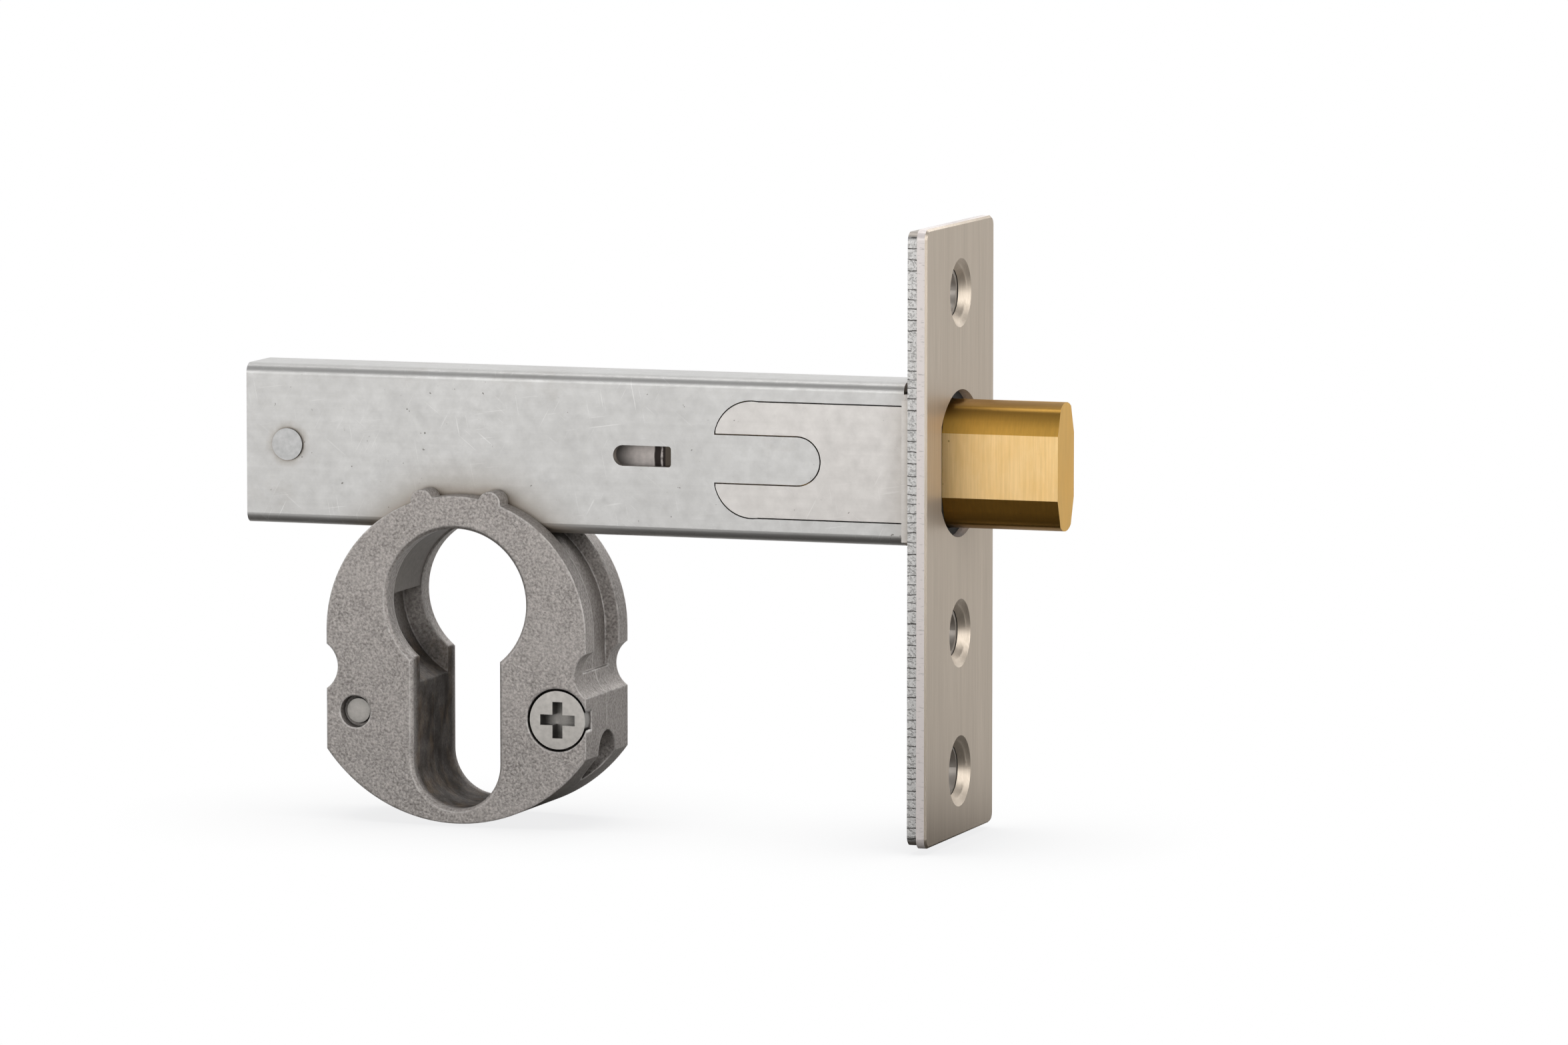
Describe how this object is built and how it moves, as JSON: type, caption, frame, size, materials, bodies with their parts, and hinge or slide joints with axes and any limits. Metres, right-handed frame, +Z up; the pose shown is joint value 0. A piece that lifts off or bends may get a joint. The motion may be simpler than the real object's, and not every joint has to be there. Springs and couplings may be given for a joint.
{
  "type": "mortise deadbolt",
  "caption": "Slim mortise deadbolt with a brass bolt, folded steel case, double faceplate and a cast housing for a profile cylinder.",
  "frame": {"origin": "on the bolt axis at the front face of the outer faceplate, midway between the two wood-screw holes", "axes": "+X along the bolt, out of the door edge; +Z up the faceplate; +Y across the lock, away from the side shown in the picture"},
  "size_m": [0.1003, 0.0254, 0.072],
  "materials": {
    "satin_nickel": "vertically brushed satin nickel",
    "plated_steel": "plated sheet with sheared edges",
    "black_nylon": "matt moulded",
    "case_steel": "satin plated sheet with fine scratches",
    "cast_zinc": "grainy sand-blasted casting",
    "screw_nickel": "nickel plated",
    "rivet_steel": "pressed",
    "spring_steel": "spring steel",
    "driver_steel": "sintered steel",
    "bolt_brass": "ground flats",
    "tail_steel": "plated"
  },
  "bodies": {
    "lock_body": {"outer_faceplate": "satin_nickel", "inner_faceplate": "plated_steel", "bolt_guide": "black_nylon", "near_bracket": "plated_steel", "far_bracket": "plated_steel", "lock_case": "case_steel", "near_housing": "cast_zinc", "far_housing": "cast_zinc", "near_clamp_screw": "screw_nickel", "far_clamp_screw": "screw_nickel", "rear_rivet": "rivet_steel", "rear_spacer": "rivet_steel", "friction_spring": "spring_steel"},
    "driver": {"cam_driver": "driver_steel"},
    "bolt": {"deadbolt": "bolt_brass", "bolt_tail": "tail_steel", "upper_tail_pin": "rivet_steel", "lower_tail_pin": "rivet_steel"}
  },
  "joints": [
    {"name": "driver_turn", "type": "hinge", "parent": "lock_body", "child": "driver", "pos_m": [-0.06, 0, -0.0178], "axis": [0, 1, 0], "range_deg": [-54.42, 0]},
    {"name": "bolt_slide", "type": "slide", "parent": "lock_body", "child": "bolt", "axis": [1, 0, 0], "range_m": [-0.0128, 0]}
  ],
  "couplings": [
    {"joint": "driver_turn", "follows": "bolt_slide", "rad_per_m": 74.184}
  ]
}
